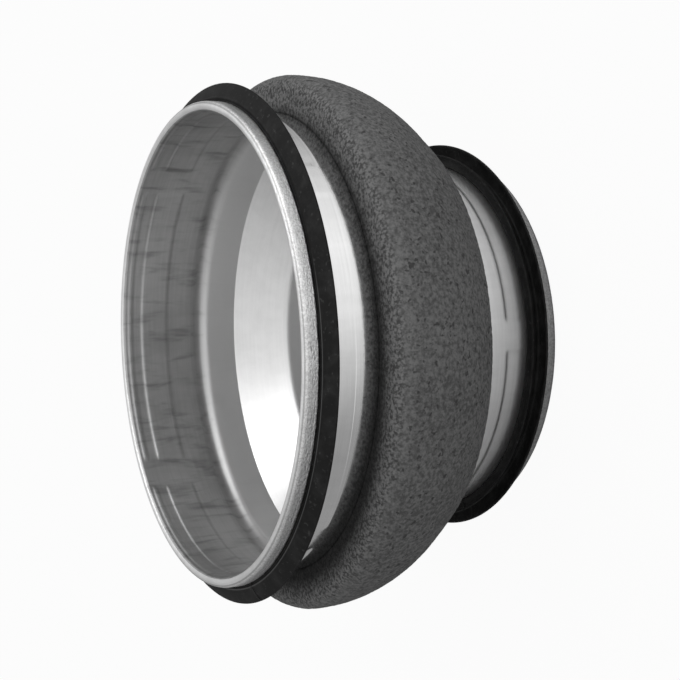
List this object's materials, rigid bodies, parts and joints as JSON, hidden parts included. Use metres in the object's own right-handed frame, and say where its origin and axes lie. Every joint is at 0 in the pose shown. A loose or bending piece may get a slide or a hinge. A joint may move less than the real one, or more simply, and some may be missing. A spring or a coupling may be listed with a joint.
{
  "type": "duct reducer",
  "caption": "Round sheet-steel duct reducer with folded rims, a rubber lip seal on each spigot and a moulded foam insulation jacket around the cone.",
  "frame": {"origin": "on the duct's axis, level with the end of the small rim, on which the part stands", "axes": "+Z along the duct's axis from the small spigot to the large one"},
  "size_m": [0.225, 0.225, 0.1243],
  "materials": {
    "galvanised_sheet": "galvanised, satin, with fine draw marks",
    "seal_rubber": "matt extruded rubber",
    "insulation_foam": "closed-cell foam with a pebbled, porous skin"
  },
  "bodies": {
    "root": {"reducer_shell": "galvanised_sheet", "large_seal": "seal_rubber", "small_seal": "seal_rubber", "foam_jacket": "insulation_foam"}
  },
  "joints": []
}
